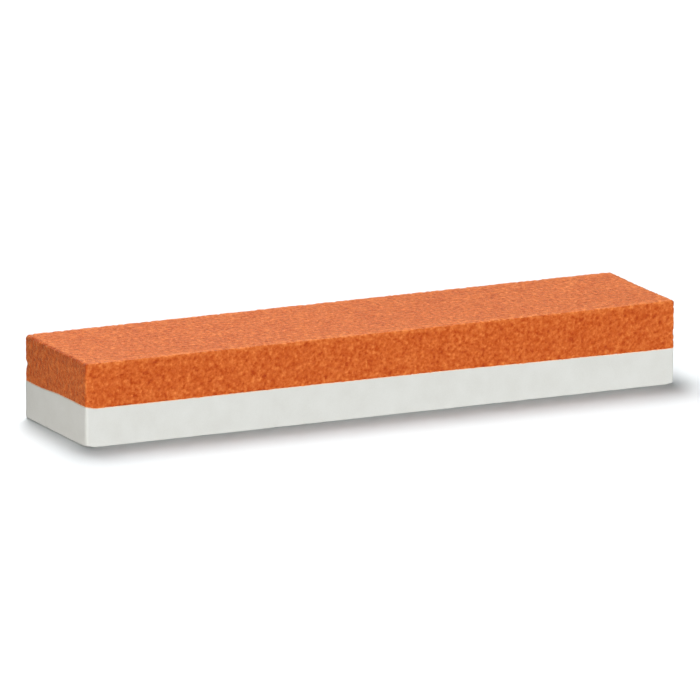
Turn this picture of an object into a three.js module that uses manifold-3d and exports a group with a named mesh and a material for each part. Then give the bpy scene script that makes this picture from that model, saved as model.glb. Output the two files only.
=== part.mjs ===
// A two-layer combination bench whetstone: a coarse abrasive slab bonded on top of a fine one.
// Millimetres. +X runs along the stone, +Y across it, +Z up. The origin is the centre of the underside.

import * as THREE from 'three';
import { mergeVertices } from 'three/addons/utils/BufferGeometryUtils.js';
import Module from 'manifold-3d';

const wasm = await Module();
wasm.setup();

// Driving dimensions
const STONE_LENGTH = 200;
const STONE_WIDTH = 45;
const STONE_HEIGHT = 26;
const SEAM_HEIGHT = 12; // middle of the bond film, above the underside
const BOND_THICKNESS = 0.25;
const BOND_INSET = 0.5; // the film stops this far inside the stone's four sides
const CORNER_RADIUS = 0.8; // the four upright corners
const ARRIS_RADIUS = 0.5; // the long and short edges of the top and bottom faces
const CORNER_SEGMENTS = 6;
const ARRIS_SEGMENTS = 4;

// Levels worked out from them
const FINE_TOP = SEAM_HEIGHT - BOND_THICKNESS / 2;
const COARSE_BOTTOM = SEAM_HEIGHT + BOND_THICKNESS / 2;

// Outline of the stone seen from above, with rounded corners
function footprint(length, width, radius) {
  const x = length / 2 - radius;
  const y = width / 2 - radius;
  const quarter = Math.PI / 2;
  const outline = new THREE.Shape();
  outline.absarc(x, y, radius, 0, quarter);
  outline.absarc(-x, y, radius, quarter, 2 * quarter);
  outline.absarc(-x, -y, radius, 2 * quarter, 3 * quarter);
  outline.absarc(x, -y, radius, 3 * quarter, 4 * quarter);
  outline.closePath();
  return outline;
}

// The whole stone as one block, with its top and bottom arrises rounded
function roundedBlock() {
  const block = new THREE.ExtrudeGeometry(footprint(STONE_LENGTH, STONE_WIDTH, CORNER_RADIUS), {
    depth: STONE_HEIGHT - 2 * ARRIS_RADIUS,
    curveSegments: CORNER_SEGMENTS,
    bevelThickness: ARRIS_RADIUS,
    bevelSize: ARRIS_RADIUS,
    bevelOffset: -ARRIS_RADIUS,
    bevelSegments: ARRIS_SEGMENTS,
  });
  block.translate(0, 0, ARRIS_RADIUS);
  return block;
}

function toSolid(geometry) {
  const bare = geometry.clone();
  bare.deleteAttribute('normal');
  bare.deleteAttribute('uv');
  const merged = mergeVertices(bare);
  return new wasm.Manifold(new wasm.Mesh({
    numProp: 3,
    vertProperties: merged.attributes.position.array,
    triVerts: merged.index.array,
  }));
}

function toGeometry(solid) {
  const { vertProperties, triVerts } = solid.getMesh();
  const geometry = new THREE.BufferGeometry();
  geometry.setAttribute('position', new THREE.BufferAttribute(vertProperties, 3));
  geometry.setIndex(new THREE.BufferAttribute(triVerts, 1));
  geometry.computeVertexNormals();
  return geometry;
}

// The slice of the block between two levels, with its own underside at z = 0
function slice(block, bottom, top) {
  const thickness = top - bottom;
  const slab = new THREE.BoxGeometry(2 * STONE_LENGTH, 2 * STONE_WIDTH, thickness);
  slab.translate(0, 0, bottom + thickness / 2);
  const cut = toGeometry(toSolid(block).intersect(toSolid(slab)));
  return cut.translate(0, 0, -bottom);
}

function bondSheet() {
  const outline = footprint(
    STONE_LENGTH - 2 * BOND_INSET,
    STONE_WIDTH - 2 * BOND_INSET,
    CORNER_RADIUS - BOND_INSET,
  );
  return new THREE.ExtrudeGeometry(outline, {
    depth: BOND_THICKNESS,
    curveSegments: CORNER_SEGMENTS,
    bevelEnabled: false,
  });
}

function place(name, geometry, height, finish) {
  const material = new THREE.MeshStandardMaterial({ metalness: 0, ...finish });
  const mesh = new THREE.Mesh(geometry, material);
  mesh.name = name;
  mesh.position.z = height;
  return mesh;
}

const block = roundedBlock();
const whetstone = new THREE.Group();
whetstone.name = 'whetstone';
whetstone.add(
  place('fine_grit_layer', slice(block, 0, FINE_TOP), 0, { color: 0xe3e3dd, roughness: 0.7 }),
  place('bond_film', bondSheet(), FINE_TOP, { color: 0xd8c6a0, roughness: 0.4 }),
  place('coarse_grit_layer', slice(block, COARSE_BOTTOM, STONE_HEIGHT), COARSE_BOTTOM, {
    color: 0xdf7d47,
    roughness: 0.9,
  }),
);

export default whetstone;
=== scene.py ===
"""The looks of a two-layer bench whetstone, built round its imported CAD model.

Lengths are in millimetres, in the stone's own frame, and turn into metres where a mesh, a light or
the camera is placed.
"""

import math

import bpy
import numpy as np
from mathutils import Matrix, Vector, noise
from mathutils.geometry import delaunay_2d_cdt


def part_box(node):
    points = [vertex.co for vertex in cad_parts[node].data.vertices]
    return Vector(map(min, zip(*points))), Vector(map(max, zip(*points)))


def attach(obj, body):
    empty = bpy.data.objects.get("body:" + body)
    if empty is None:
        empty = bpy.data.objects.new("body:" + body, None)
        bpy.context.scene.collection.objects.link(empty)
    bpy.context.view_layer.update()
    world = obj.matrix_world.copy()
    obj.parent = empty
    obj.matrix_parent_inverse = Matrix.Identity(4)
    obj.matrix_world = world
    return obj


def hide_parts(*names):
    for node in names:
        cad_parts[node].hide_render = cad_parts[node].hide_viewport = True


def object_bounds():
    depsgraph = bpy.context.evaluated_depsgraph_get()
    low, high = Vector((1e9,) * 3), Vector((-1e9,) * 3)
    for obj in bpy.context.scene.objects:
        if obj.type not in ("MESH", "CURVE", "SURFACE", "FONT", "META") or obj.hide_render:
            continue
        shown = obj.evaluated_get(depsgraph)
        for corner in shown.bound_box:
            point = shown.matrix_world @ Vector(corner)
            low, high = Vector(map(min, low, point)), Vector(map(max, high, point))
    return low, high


MM = 0.001

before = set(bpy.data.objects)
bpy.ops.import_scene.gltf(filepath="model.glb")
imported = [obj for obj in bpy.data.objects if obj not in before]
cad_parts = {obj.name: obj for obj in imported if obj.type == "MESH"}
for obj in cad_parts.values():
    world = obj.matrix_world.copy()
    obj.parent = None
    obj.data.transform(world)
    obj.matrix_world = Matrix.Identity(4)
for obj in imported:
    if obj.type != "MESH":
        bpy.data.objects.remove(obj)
cad_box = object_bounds()


def node_box(name):
    """A CAD node's lowest and highest corners, in millimetres."""
    low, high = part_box(name)
    return np.array(low) / MM, np.array(high) / MM


FINE_LOW, FINE_HIGH = node_box("fine_grit_layer")
COARSE_LOW, COARSE_HIGH = node_box("coarse_grit_layer")
FILM_LOW, FILM_HIGH = node_box("bond_film")
LENGTH = float(COARSE_HIGH[0] - COARSE_LOW[0])
WIDTH = float(COARSE_HIGH[1] - COARSE_LOW[1])

# Mesh fineness
COARSE_CELL = 0.42
FINE_CELL = 0.62
FILM_CELL = 1.0
FILM_LEVELS = 4  # rows of points up the film's edge
SEAM_FACE_CELL = 4.0  # the hidden faces inside the seam
ARRIS_LINES = 2  # lattice lines from an edge to the end of its rounding
SEAM_BAND = 0.2  # the lattice is finer this close to the seam too, though nothing is rounded there
SHARP_ANGLE = math.radians(60)

# Noise
NOISE_GAIN = 1.6  # brings Blender's noise to about -1 to 1
SEED_STEP = Vector((17.3, 5.1, -9.7))  # how far each seed moves the pattern

# Edges
COARSE_ARRIS = 0.45
FINE_ARRIS = 0.25
END_ARRIS = 0.8  # the edges and corners at the two ends are rounder than the long edges
END_REACH = 3.0  # how far from the ends the rounding starts to grow
ARRIS_UNEVENNESS = 0.2
ARRIS_UNEVEN_SIZE = 9.0
FILM_CORNER = 0.7
FAR_OFF = np.array([0.0, 0.0, 100.0])  # moves a box's face so far that its edges aren't rounded

# Where the pieces sit
SLAB_SHIFT = 0.1  # the coarse slab sits this much further right than the fine one
FILM_INSET = 0.04  # the film stops this far inside the slabs' sides

# The coarse slab's top
TOP_RISE = 0.26  # it stands this far above its nominal height
CROWN_DROP = 0.05  # and falls by this much over the last few millimetres before its long edges
CROWN_REACH = 3.0
PROUD_CORNER = 0.25  # its front right corner stands this far above the rest of it
PROUD_CORNER_REACH = 14.0

# The coarse slab's surface
GRAIN_DEPTH = 0.07
FINE_GRAIN_DEPTH = 0.035
PIT_DEPTH = 0.09
TIP_HEIGHT = 0.08
PEAK_LEVELS = (0.4, 0.8)  # the noise levels from no pit or tip to a full one
LAPPED_OFF = 0.4  # the share of the roughness that the top lacks
CRUMBLE_DEPTH = 0.22
CRUMBLE_REACH = (0.3, 1.5)  # how far from an edge the crumbling starts to fade, and ends
CRUMBLE_LEVELS = (-0.1, 0.8)
KNOCK_HEIGHT = 17.3  # a knock on the back left corner, this far above the floor
KNOCK_REACH = 1.0
KNOCK_DEPTH = 0.45
SEAM_GRAIN = 0.09  # how far the grains stand proud of the joint face
SEAM_GRAIN_POWER = 8  # the higher it is, the faster that fades above the seam

# The coarse slab's tone, where more is paler
TOP_RIM_REACH = 4.5  # how far the paler edge of the top reaches in: partly rubbed, partly a painted highlight
SIDE_RIM_REACH = 1.8  # and how far down the sides it reaches
TOP_SHADE_REACH = (0.3, 1.6)  # painted shade on the top, by the distance from its ends
END_SHADE_REACH = (0.5, 4.0)  # painted shade on the ends, by the distance below the top
PAINTED_SHADE_TONE = 0.85  # how much the painted shade darkens
# the whole top is painted paler: a painted sheen
TOP_PAINTED_SHEEN = 0.3
LAPPED_MOTTLE = 1.9
LAPPED_PATCHES = 0.5
STROKE_STRETCH = 1.6  # the top's mottle runs a little across the stone, the way it was lapped
# the ends are painted darker: a painted shade
END_PAINTED_SHADE = -0.65
SAWN_MOTTLE = 0.5

# The fine slab's surface
WAVE_HEIGHT = 0.02
CHIP_DEPTH = 0.12
CHIP_REACH = (0.2, 1.4)  # how far from an edge the chips start to fade, and end
CHIP_LEVELS = (0.55, 0.9)
CHIP_SHADE_DEPTH = 0.15  # the depth of chip that counts as 1 in the chips' painted shade
CORNER_KNOCK_REACH = 2.0  # the lower front left corner is knocked off
CORNER_KNOCK_DEPTH = 0.5

# The seam isn't quite level: it dips towards the right end and the back, and rises at the left end
SEAM_BASE = 0.06  # where it is level, it stands this far above its nominal height
SEAM_DIP_RIGHT = 0.83
SEAM_RIGHT_SPAN = (-0.1 * LENGTH, 0.55 * LENGTH)
SEAM_DIP_BACK = 0.25
SEAM_BACK_SPAN = (-0.1 * WIDTH, 0.4 * WIDTH)
SEAM_LEFT_RISE = 0.6  # the front half of the left end, where it stands higher
SEAM_LEFT_REACH = 3.5
SEAM_LEFT_SPAN = (-0.1 * WIDTH, 0.27 * WIDTH)  # over which that rise ends, from front to back
SEAM_WANDER = 0.06
SEAM_WANDER_SIZE = 30.0

# The lights
POWER_TO_WHITE = 4.0 * math.pi**2  # the power that turns a white surface one metre away white
SOFTBOX_HEIGHT = 2.7 * LENGTH
SOFTBOX_RADIUS = 0.77 * LENGTH


# Shape tools


def noise_field(points, size, seed):
    """Smooth noise, about -1 to 1, with features about size across, at each point."""
    offset = SEED_STEP * seed
    return np.array([noise.noise(Vector(point) / size + offset) for point in points]) * NOISE_GAIN


def smooth_step(values, start, end):
    """0 up to start, 1 from end on, and a smooth slope between them."""
    t = np.clip((values - start) / (end - start), 0.0, 1.0)
    return t * t * (3.0 - 2.0 * t)


def lattice_lines(low, high, cell, low_band, high_band):
    """Line positions along one axis: even cells, and closer lines in a band at either end."""
    turns = np.tan(np.linspace(math.pi / 4, 0.0, ARRIS_LINES + 1))
    start = low + low_band * (1.0 - turns)
    end = high - high_band * (1.0 - turns[::-1])
    middle = np.linspace(start[-1], end[0], max(2, round((end[0] - start[-1]) / cell) + 1))
    return np.concatenate([start[:-1], middle, end[1:]])


def quads(ids):
    """The cells of a grid of vertex numbers, facing the way its first axis crosses its second."""
    corners = ids[:-1, :-1], ids[1:, :-1], ids[1:, 1:], ids[:-1, 1:]
    return np.stack([corner.ravel() for corner in corners], axis=1)


def shell(xs, ys, zs, open_end=None):
    """The surface of a box as a lattice. open_end, 0 or -1, leaves out its bottom or top face.

    Returns the points, the quads and the rim of the open face, in order round it."""
    on_surface = np.zeros((len(xs), len(ys), len(zs)), bool)
    on_surface[[0, -1], :, :] = True
    on_surface[:, [0, -1], :] = True
    for end in {0, -1} - {open_end}:
        on_surface[:, :, end] = True
    ids = np.full(on_surface.shape, -1)
    ids[on_surface] = np.arange(on_surface.sum())
    grid = np.stack(np.meshgrid(xs, ys, zs, indexing="ij"), axis=-1)
    faces = [
        quads(ids[-1]),
        quads(ids[0].T),
        quads(ids[:, -1].T),
        quads(ids[:, 0]),
    ]
    if open_end != -1:
        faces.append(quads(ids[:, :, -1]))
    if open_end != 0:
        faces.append(quads(ids[:, :, 0].T))
    rim = []
    if open_end is not None:
        level = ids[:, :, open_end]
        rim = np.concatenate([level[:-1, 0], level[-1, :-1], level[:0:-1, -1], level[0, :0:-1]])
    return grid[on_surface], np.concatenate(faces), rim


def round_off(points, low, high, radius):
    """Rolls a box's sharp edges over to a radius, which may change from point to point.

    Returns the new points and their outward normals. A point deeper inside the box than the radius
    stays where it is, with a normal of zero."""
    radius = radius[:, None]
    core = np.clip(points, low + radius, high - radius)
    out = points - core
    reach = np.abs(out).max(axis=1, keepdims=True)
    length = np.linalg.norm(out, axis=1, keepdims=True)
    normals = out / np.maximum(length, 1e-9)
    return core + normals * reach, normals


def edge_distance(points, low, high):
    """How far each point on a box's surface is from the box's nearest edge."""
    gaps = np.minimum(points - low, high - points)
    return np.sort(gaps, axis=1)[:, 1]


def arris_radius(points, long_edge, seed):
    """The rounding at each point: rounder at the two ends, and a little uneven."""
    at_end = smooth_step(np.abs(points[:, 0]), LENGTH / 2 - END_REACH, LENGTH / 2 - END_ARRIS)
    uneven = ARRIS_UNEVENNESS * noise_field(points, ARRIS_UNEVEN_SIZE, seed)
    return (long_edge + (END_ARRIS - long_edge) * at_end) * (1.0 + uneven)


def dent(points, place, reach, depth):
    """A hollow round one place on the surface, about a third as deep at a distance of reach."""
    away = np.linalg.norm(points - place, axis=1)
    return -depth * np.exp(-((away / reach) ** 2))


def seam_rise(points):
    """How far the seam stands above its nominal height under or over each point."""
    flat = points * np.array([1.0, 1.0, 0.0])
    x, y = points[:, 0], points[:, 1]
    right = smooth_step(x, *SEAM_RIGHT_SPAN)
    left = smooth_step(-x, LENGTH / 2 - SEAM_LEFT_REACH, LENGTH / 2)
    back = smooth_step(y, *SEAM_BACK_SPAN)
    front = 1.0 - smooth_step(y, *SEAM_LEFT_SPAN)
    wander = noise_field(flat, SEAM_WANDER_SIZE, seed=3)
    rise = SEAM_LEFT_RISE * left * front + SEAM_WANDER * wander
    return rise + SEAM_BASE - SEAM_DIP_RIGHT * right - SEAM_DIP_BACK * back


def close_seam_face(points, rim, level):
    """Fills the opening inside rim with triangles. Returns its new points and its faces."""
    outline = points[rim][:, :2]
    low = outline.min(axis=0) + SEAM_FACE_CELL / 2
    high = outline.max(axis=0) - SEAM_FACE_CELL / 2
    xs = np.arange(low[0], high[0], SEAM_FACE_CELL)
    ys = np.arange(low[1], high[1], SEAM_FACE_CELL)
    inside = np.stack(np.meshgrid(xs, ys), axis=-1).reshape(-1, 2)
    count = len(rim)
    border = [(i, (i + 1) % count) for i in range(count)]
    flat = [Vector(p) for p in np.concatenate([outline, inside])]
    inside_only = 1
    tolerance = 1e-5
    _, _, faces, sources, _, _ = delaunay_2d_cdt(flat, border, [], inside_only, tolerance)
    added = np.column_stack([inside, np.full(len(inside), level)])
    added[:, 2] += seam_rise(added)
    numbers = np.concatenate([rim, len(points) + np.arange(len(inside))])
    return added, [[int(numbers[sources[corner][0]]) for corner in face] for face in faces]


def make_piece(name, node, points, faces, tones, material):
    """Turns points and faces into a named piece that stands for a CAD node.

    tones holds what the material reads at each point. Points past its end, inside the seam, get 0."""
    mesh = bpy.data.meshes.new(name)
    mesh.from_pydata(points * MM, [], faces)
    mesh.validate()
    for label, values in tones.items():
        padded = np.zeros(len(points), np.float32)
        padded[: len(values)] = values
        mesh.attributes.new(label, "FLOAT", "POINT").data.foreach_set("value", padded)
    mesh.shade_smooth()
    mesh.set_sharp_from_angle(angle=SHARP_ANGLE)
    mesh.materials.append(material)
    piece = bpy.data.objects.new(name, mesh)
    bpy.context.scene.collection.objects.link(piece)
    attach(piece, "root")
    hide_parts(node)
    return piece


# Materials


def new_material(name):
    """A material with nodes, its node tree and its shader."""
    material = bpy.data.materials.new(name)
    material.use_nodes = True
    return material, material.node_tree, material.node_tree.nodes["Principled BSDF"]


def add_node(tree, kind, inputs, **settings):
    """Adds a shader node, with its settings, and sets or links its inputs."""
    made = tree.nodes.new("ShaderNode" + kind)
    for key, value in settings.items():
        setattr(made, key, value)
    for socket, value in inputs.items():
        if isinstance(value, bpy.types.NodeSocket):
            tree.links.new(value, made.inputs[socket])
        else:
            made.inputs[socket].default_value = value
    return made


def place_mm(tree):
    """The place on the stone in millimetres, for the textures."""
    place = add_node(tree, "TexCoord", {}).outputs["Object"]
    scaled = add_node(tree, "VectorMath", {0: place, "Scale": 1.0 / MM}, operation="SCALE")
    return scaled.outputs["Vector"]


def noise_texture(tree, place, size, detail=2.0, roughness=0.5):
    """A noise from 0 to 1 with features about size millimetres across."""
    inputs = {"Vector": place, "Scale": 1.0 / size, "Detail": detail, "Roughness": roughness}
    return add_node(tree, "TexNoise", inputs).outputs["Fac"]


def cells(tree, place, size):
    """A cell pattern: each cell's own random number, and the distance from its centre."""
    made = add_node(tree, "TexVoronoi", {"Vector": place, "Scale": 1.0 / size})
    parts = add_node(tree, "SeparateColor", {0: made.outputs["Color"]})
    return parts.outputs[0], made.outputs["Distance"]


def math_node(tree, operation, a, b, c=0.0):
    return add_node(tree, "Math", {0: a, 1: b, 2: c}, operation=operation).outputs[0]


def weigh(tree, base, *terms):
    """base plus each value times its weight, where each value swings round its own middle."""
    total = base
    for value, middle, weight in terms:
        swing = math_node(tree, "SUBTRACT", value, middle)
        total = math_node(tree, "MULTIPLY_ADD", swing, weight, total)
    return total


def attribute(tree, name):
    """What a piece's mesh says at each point, by the name of one of its tones."""
    return add_node(tree, "Attribute", {}, attribute_name=name).outputs["Fac"]


def ramp(tree, value, *stops):
    """A colour ramp through (position, colour) stops."""
    made = add_node(tree, "ValToRGB", {"Fac": value})
    elements = made.color_ramp.elements
    for element, (position, colour) in zip(elements, (stops[0], stops[-1])):
        element.position = position
        element.color = (*colour, 1.0)
    for position, colour in stops[1:-1]:
        elements.new(position).color = (*colour, 1.0)
    return made.outputs["Color"]


def bump(tree, height, depth):
    """The normal of a surface that height raises, where a height of 1 is depth millimetres."""
    inputs = {"Height": height, "Distance": depth * MM, "Strength": 1.0}
    return add_node(tree, "Bump", inputs).outputs["Normal"]


def coarse_material():
    """Open-grained orange abrasive: packed grains, hollows painted darker as shade, paler tips, and
    the painted highlight, shade and sheen that the slab's tones carry.
    """
    material, tree, shader = new_material("coarse_abrasive")
    place = place_mm(tree)
    grain_tone, grain_distance = cells(tree, place, size=0.45)
    mottle = noise_texture(tree, place, size=0.82, detail=1.0)
    patches = noise_texture(tree, place, size=16.0)
    fine = noise_texture(tree, place, size=0.2, detail=3.0)
    tone = weigh(
        tree,
        0.5,
        (mottle, 0.5, 0.62),
        (grain_tone, 0.5, 0.18),
        (patches, 0.5, 0.12),
        # the surface's height: hollows painted darker as shade, tips paler
        (attribute(tree, "relief_shade"), 0.0, 0.22),
        # rubbing and mottle, plus a painted highlight on the edges, painted shade by the end edges
        # and on the ends, and a painted sheen on the top
        (attribute(tree, "wear_and_painted_light"), 0.0, 0.16),
    )
    colour = ramp(
        tree,
        tone,
        (0.0, (0.36, 0.035, 0.001)),
        (0.28, (0.50, 0.068, 0.003)),
        (0.5, (0.605, 0.112, 0.014)),
        (0.72, (0.712, 0.168, 0.030)),
        (1.0, (0.87, 0.255, 0.055)),
    )
    tree.links.new(colour, shader.inputs["Base Color"])
    roughness = weigh(tree, 0.86, (grain_tone, 0.5, -0.2))
    tree.links.new(roughness, shader.inputs["Roughness"])
    height = weigh(tree, 0.0, (grain_distance, 0.0, -1.0), (fine, 0.5, 0.8))
    tree.links.new(bump(tree, height, depth=0.12), shader.inputs["Normal"])
    shader.inputs["Specular IOR Level"].default_value = 0.3
    shader.inputs["Sheen Weight"].default_value = 0.55
    shader.inputs["Sheen Roughness"].default_value = 0.3
    shader.inputs["Sheen Tint"].default_value = (1.0, 0.9, 0.42, 1.0)
    return material


def fine_material():
    """Dense white abrasive: almost even, with faint clouds and tiny pores."""
    material, tree, shader = new_material("fine_abrasive")
    place = place_mm(tree)
    clouds = noise_texture(tree, place, size=6.0, detail=3.0)
    speckle = noise_texture(tree, place, size=0.35)
    tone = weigh(
        tree,
        0.5,
        (clouds, 0.5, 0.9),
        (speckle, 0.5, 0.6),
        # chips painted darker, as shade in them
        (attribute(tree, "relief_shade"), 0.0, 0.2),
    )
    colour = ramp(
        tree,
        tone,
        (0.0, (0.60, 0.60, 0.56)),
        (0.5, (0.653, 0.660, 0.625)),
        (1.0, (0.70, 0.71, 0.68)),
    )
    tree.links.new(colour, shader.inputs["Base Color"])
    roughness = weigh(tree, 0.66, (speckle, 0.5, 0.15))
    tree.links.new(roughness, shader.inputs["Roughness"])
    height = weigh(tree, 0.0, (speckle, 0.5, 1.0))
    tree.links.new(bump(tree, height, depth=0.02), shader.inputs["Normal"])
    return material


def film_material():
    """Cured adhesive: pale amber and slightly glossy."""
    material, tree, shader = new_material("cured_adhesive")
    place = place_mm(tree)
    clouds = noise_texture(tree, place, size=3.0)
    colour = ramp(tree, clouds, (0.3, (0.72, 0.52, 0.36)), (0.7, (0.80, 0.66, 0.50)))
    tree.links.new(colour, shader.inputs["Base Color"])
    roughness = weigh(tree, 0.4, (clouds, 0.5, 0.3))
    tree.links.new(roughness, shader.inputs["Roughness"])
    ripples = noise_texture(tree, place, size=0.6)
    tree.links.new(bump(tree, ripples, depth=0.03), shader.inputs["Normal"])
    return material


# Pieces


def coarse_tone(points, normals, from_edge, from_end, top):
    """How pale each point of the coarse slab is: edges paler, partly rubbed and partly a painted
    highlight, painted shade by the end edges, a painted sheen on the top, painted shade on the ends,
    and mottle.
    """
    upward = np.clip(normals[:, 2], 0.0, 1.0)
    endward = np.abs(normals[:, 0])
    # the edges are paler: partly rubbed, partly a painted highlight
    rim_reach = SIDE_RIM_REACH + (TOP_RIM_REACH - SIDE_RIM_REACH) * upward
    rubbed_and_highlight = 1.0 - smooth_step(from_edge / rim_reach, 0.0, 1.0)
    # painted shade darkens the edges between the top and the ends
    painted_shade = upward * (1.0 - smooth_step(from_end, *TOP_SHADE_REACH))
    painted_shade += endward * (1.0 - smooth_step(top - points[:, 2], *END_SHADE_REACH))
    strokes = points / np.array([1.0, STROKE_STRETCH, 1.0])
    mottle = LAPPED_MOTTLE * noise_field(strokes, size=0.95, seed=15)
    patches = LAPPED_PATCHES * noise_field(points, size=6.0, seed=19)
    # the top's mottle, and its painted sheen
    top_mottle_and_sheen = upward * (TOP_PAINTED_SHEEN + mottle + patches)
    # the ends' mottle, and their painted shade
    end_mottle_and_shade = endward * (SAWN_MOTTLE * noise_field(points, size=1.8, seed=16) + END_PAINTED_SHADE)
    return (1.0 - np.clip(painted_shade, 0.0, 1.0)) * rubbed_and_highlight - PAINTED_SHADE_TONE * painted_shade + top_mottle_and_sheen + end_mottle_and_shade


def coarse_roughness(points, upward):
    """How far the grains, pits and tips stand out of the coarse slab's surface."""
    grain = GRAIN_DEPTH * noise_field(points, size=1.0, seed=11)
    grain += FINE_GRAIN_DEPTH * noise_field(points, size=0.5, seed=12)
    pits = -PIT_DEPTH * smooth_step(noise_field(points, size=1.4, seed=13), *PEAK_LEVELS)
    tips = TIP_HEIGHT * smooth_step(noise_field(points, size=1.2, seed=17), *PEAK_LEVELS)
    return (grain + pits + tips) * (1.0 - LAPPED_OFF * upward)


def coarse_slab():
    """The orange slab: grain all over, crumbled edges, a knock and a proud corner."""
    low = COARSE_LOW + np.array([SLAB_SHIFT, 0.0, 0.0])
    high = COARSE_HIGH.copy()
    xs = lattice_lines(low[0], high[0], COARSE_CELL, END_ARRIS, END_ARRIS)
    ys = lattice_lines(low[1], high[1], COARSE_CELL, COARSE_ARRIS, COARSE_ARRIS)
    zs = lattice_lines(low[2], high[2], COARSE_CELL, SEAM_BAND, COARSE_ARRIS)
    points, faces, rim = shell(xs, ys, zs, open_end=0)
    endless_low = low - FAR_OFF
    from_edge = edge_distance(points, endless_low, high)
    from_side = np.minimum(points[:, 1] - low[1], high[1] - points[:, 1])
    from_end = np.minimum(points[:, 0] - low[0], high[0] - points[:, 0])
    radius = arris_radius(points, COARSE_ARRIS, seed=5)
    points, normals = round_off(points, endless_low, high, radius)
    upward = np.clip(normals[:, 2], 0.0, 1.0)
    # rubbing, mottle, and painted highlight, shade and sheen
    wear_and_painted_light = coarse_tone(points, normals, from_edge, from_end, high[2])

    depth_share = (high[2] - points[:, 2]) / (high[2] - low[2])
    crown = (1.0 - np.clip(from_side / CROWN_REACH, 0.0, 1.0)) ** 2
    seam_grain = SEAM_GRAIN * depth_share**SEAM_GRAIN_POWER
    points[:, 2] += depth_share * seam_rise(points) + (1.0 - depth_share) * TOP_RISE
    points[:, 2] += seam_grain * noise_field(points, size=1.3, seed=18)
    points[:, 2] -= upward * CROWN_DROP * crown

    roughness = coarse_roughness(points, upward)
    near_edge = 1.0 - smooth_step(from_edge, *CRUMBLE_REACH)
    crumbs = smooth_step(noise_field(points, size=1.4, seed=14), *CRUMBLE_LEVELS)
    crumble = -CRUMBLE_DEPTH * near_edge * crumbs
    knocked_corner = np.array([low[0], high[1], KNOCK_HEIGHT])
    knock = dent(points, knocked_corner, KNOCK_REACH, KNOCK_DEPTH)
    height = roughness + crumble + knock
    points = points + normals * height[:, None]
    proud_corner = np.array([high[0], low[1], high[2]])
    points[:, 2] -= dent(points, proud_corner, PROUD_CORNER_REACH, PROUD_CORNER) * normals[:, 2]

    added, seam_faces = close_seam_face(points, rim, low[2])
    return make_piece(
        "coarse_slab",
        "coarse_grit_layer",
        np.concatenate([points, added]),
        faces.tolist() + [face[::-1] for face in seam_faces],
        # one tone paints the hollows darker as shade and the tips paler; the other carries rubbing,
        # mottle and painted highlight, shade and sheen
        {"relief_shade": roughness / PIT_DEPTH, "wear_and_painted_light": wear_and_painted_light},
        coarse_material(),
    )


def fine_slab():
    """The white slab: smooth, with faint waves, small chips along its edges and a knocked corner."""
    low = FINE_LOW.copy()
    high = FINE_HIGH - np.array([SLAB_SHIFT, 0.0, 0.0])
    xs = lattice_lines(low[0], high[0], FINE_CELL, END_ARRIS, END_ARRIS)
    ys = lattice_lines(low[1], high[1], FINE_CELL, FINE_ARRIS, FINE_ARRIS)
    zs = lattice_lines(low[2], high[2], FINE_CELL, FINE_ARRIS, SEAM_BAND)
    points, faces, rim = shell(xs, ys, zs, open_end=-1)
    endless_high = high + FAR_OFF
    near_edge = 1.0 - smooth_step(edge_distance(points, low, endless_high), *CHIP_REACH)
    radius = arris_radius(points, FINE_ARRIS, seed=21)
    points, normals = round_off(points, low, endless_high, radius)

    height_share = (points[:, 2] - low[2]) / (high[2] - low[2])
    points[:, 2] += height_share * seam_rise(points)

    waves = WAVE_HEIGHT * noise_field(points, size=7.0, seed=22)
    chipped = smooth_step(noise_field(points, size=1.6, seed=23), *CHIP_LEVELS)
    chips = -CHIP_DEPTH * near_edge * chipped
    knock = dent(points, low, CORNER_KNOCK_REACH, CORNER_KNOCK_DEPTH)
    height = waves + chips + knock
    height -= height.max()
    points = points + normals * height[:, None]

    added, seam_faces = close_seam_face(points, rim, high[2])
    return make_piece(
        "fine_slab",
        "fine_grit_layer",
        np.concatenate([points, added]),
        faces.tolist() + seam_faces,
        # the chips' depth, which the material paints as shade
        {"relief_shade": chips / CHIP_SHADE_DEPTH},
        fine_material(),
    )


def bond_film():
    """The adhesive between the slabs, almost flush with their sides."""
    low = np.array([FINE_LOW[0] + SLAB_SHIFT + FILM_INSET, FINE_LOW[1] + FILM_INSET, FILM_LOW[2]])
    high = np.array([FINE_HIGH[0] - SLAB_SHIFT - FILM_INSET, FINE_HIGH[1] - FILM_INSET, FILM_HIGH[2]])
    xs = lattice_lines(low[0], high[0], FILM_CELL, COARSE_ARRIS, COARSE_ARRIS)
    ys = lattice_lines(low[1], high[1], FILM_CELL, COARSE_ARRIS, COARSE_ARRIS)
    zs = np.linspace(low[2], high[2], FILM_LEVELS)
    points, faces, _ = shell(xs, ys, zs)
    radius = np.full(len(points), FILM_CORNER)
    points, _ = round_off(points, low - FAR_OFF, high + FAR_OFF, radius)
    points[:, 2] += seam_rise(points)
    return make_piece(
        "adhesive_film",
        "bond_film",
        points,
        faces.tolist(),
        {},
        film_material(),
    )


# Stage


def floor():
    """A wide pale floor. It shows shadows, but it neither lights the stone nor shades the lamps
    that stand below its level."""
    half = 60.0 * LENGTH * MM
    corners = [(-half, -half, 0), (half, -half, 0), (half, half, 0), (-half, half, 0)]
    mesh = bpy.data.meshes.new("floor")
    mesh.from_pydata(corners, [], [(0, 1, 2, 3)])
    material, _, shader = new_material("floor_white")
    shader.inputs["Base Color"].default_value = (0.744, 0.776, 0.790, 1.0)
    shader.inputs["Roughness"].default_value = 0.9
    shader.inputs["Specular IOR Level"].default_value = 0.1
    mesh.materials.append(material)
    made = bpy.data.objects.new("floor", mesh)
    made.visible_diffuse = False
    made.visible_glossy = False
    made.visible_shadow = False
    bpy.context.scene.collection.objects.link(made)


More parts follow.
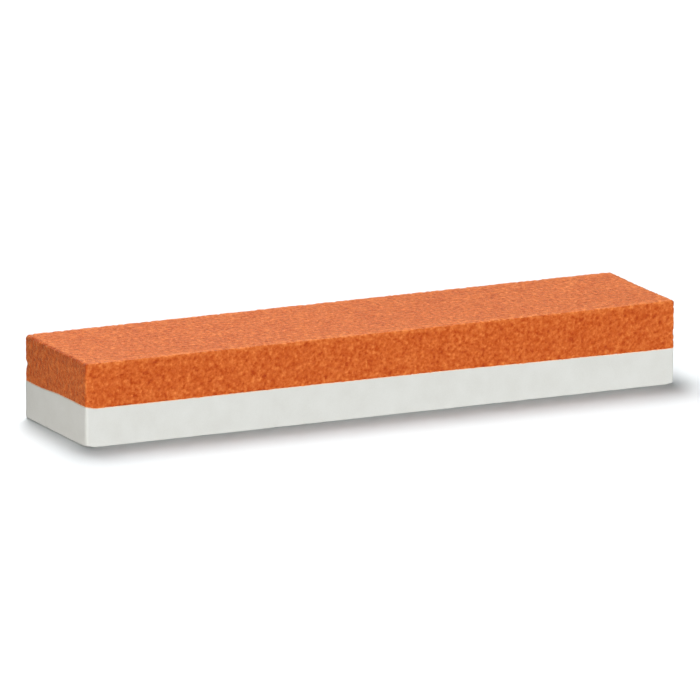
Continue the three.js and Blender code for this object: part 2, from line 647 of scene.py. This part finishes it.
def direction(azimuth, elevation):
    """The unit vector from the stone towards a place: azimuth 0 is the front, 90 the right end."""
    a = math.radians(azimuth)
    e = math.radians(elevation)
    return Vector((math.sin(a) * math.cos(e), -math.cos(a) * math.cos(e), math.sin(e)))


def lamp(name, target, azimuth, elevation, distance, size, irradiance, colour=(1.0, 1.0, 1.0)):
    """A round lamp seen from its target. irradiance 1 makes a white surface that faces it white."""
    light = bpy.data.lights.new(name, "POINT")
    light.color = colour
    light.energy = irradiance * POWER_TO_WHITE * (distance * MM) ** 2
    light.shadow_soft_size = size * MM
    made = bpy.data.objects.new(name, light)
    made.location = (Vector(target) + direction(azimuth, elevation) * distance) * MM
    bpy.context.scene.collection.objects.link(made)


def softbox(name, x, y, irradiance):
    """A round light hung above and behind the stone. It lights a level floor evenly: its strength
    grows with the cube of the distance, which makes up for the distance and for the slant."""
    height = SOFTBOX_HEIGHT * MM
    light = bpy.data.lights.new(name, "POINT")
    light.energy = irradiance * POWER_TO_WHITE / height
    light.shadow_soft_size = SOFTBOX_RADIUS * MM
    light.use_nodes = True
    tree = light.node_tree
    once = add_node(tree, "LightFalloff", {"Strength": 1.0}).outputs["Linear"]
    cubed = add_node(tree, "LightFalloff", {"Strength": once}).outputs["Constant"]
    tree.links.new(cubed, tree.nodes["Emission"].inputs["Strength"])
    made = bpy.data.objects.new(name, light)
    made.location = (x * MM, y * MM, height)
    bpy.context.scene.collection.objects.link(made)


def lighting():
    """Softboxes overhead light the floor and the stone's top. The fills stand below the floor's
    level, so they light only the faces. Two more lamps light the top's left part and the back."""
    softbox("near_softbox", x=-0.25 * LENGTH, y=0.53 * LENGTH, irradiance=0.51)
    softbox("middle_softbox", x=0.23 * LENGTH, y=1.43 * LENGTH, irradiance=0.52)
    softbox("far_softbox", x=0.4 * LENGTH, y=2.25 * LENGTH, irradiance=0.27)
    foot = (0.0, 0.0, 0.0)
    front = (0.0, -WIDTH / 2, 0.0)
    left_foot = (-LENGTH / 2, 0.0, 0.0)
    left_corner = (-LENGTH / 2, -WIDTH / 2, 0.0)
    warm_white = (1.0, 0.97, 0.94)
    low = -5.0
    far = 8.0 * LENGTH
    large = 1.5 * LENGTH
    lamp("front_left_fill", front, -20.0, low, far, large, irradiance=0.62)
    lamp("front_right_fill", front, 30.0, low, far, large, irradiance=0.57)
    lamp("left_top_light", left_foot, 180.0, 75.0, 0.8 * LENGTH, 0.3 * LENGTH, irradiance=0.08)
    lamp("left_fill", left_corner, -90.0, low, 0.75 * LENGTH, 0.15 * LENGTH, 0.648, warm_white)
    lamp("back_light", foot, 154.0, 14.0, far, large, irradiance=0.2)
    world = bpy.data.worlds.new("studio")
    world.use_nodes = True
    background = world.node_tree.nodes["Background"]
    background.inputs["Color"].default_value = (1.0, 1.0, 1.0, 1.0)
    background.inputs["Strength"].default_value = 0.045
    bpy.context.scene.world = world
    bpy.context.scene.view_settings.view_transform = "Standard"


def camera():
    """A long lens low on the left of the front, which sees the front, the top and the left end."""
    view_width = 1.0775 * LENGTH
    distance = 29.0 * LENGTH
    aim_right = -0.0014 * LENGTH
    aim_up = 0.0146 * LENGTH
    towards = direction(azimuth=-25.37, elevation=13.21)
    data = bpy.data.cameras.new("camera")
    data.sensor_width = 36.0
    data.lens = data.sensor_width * distance / view_width
    data.clip_end = 10.0 * distance * MM
    made = bpy.data.objects.new("camera", data)
    made.rotation_mode = "QUATERNION"
    made.rotation_quaternion = towards.to_track_quat("Z", "Y")
    right = made.rotation_quaternion @ Vector((1.0, 0.0, 0.0))
    up = made.rotation_quaternion @ Vector((0.0, 1.0, 0.0))
    middle = (Vector(cad_box[0]) + Vector(cad_box[1])) / 2 / MM
    aim = middle + aim_right * right + aim_up * up
    made.location = (aim + towards * distance) * MM
    bpy.context.scene.collection.objects.link(made)
    bpy.context.scene.camera = made


camera()
lighting()
floor()
coarse_slab()
bond_film()
fine_slab()
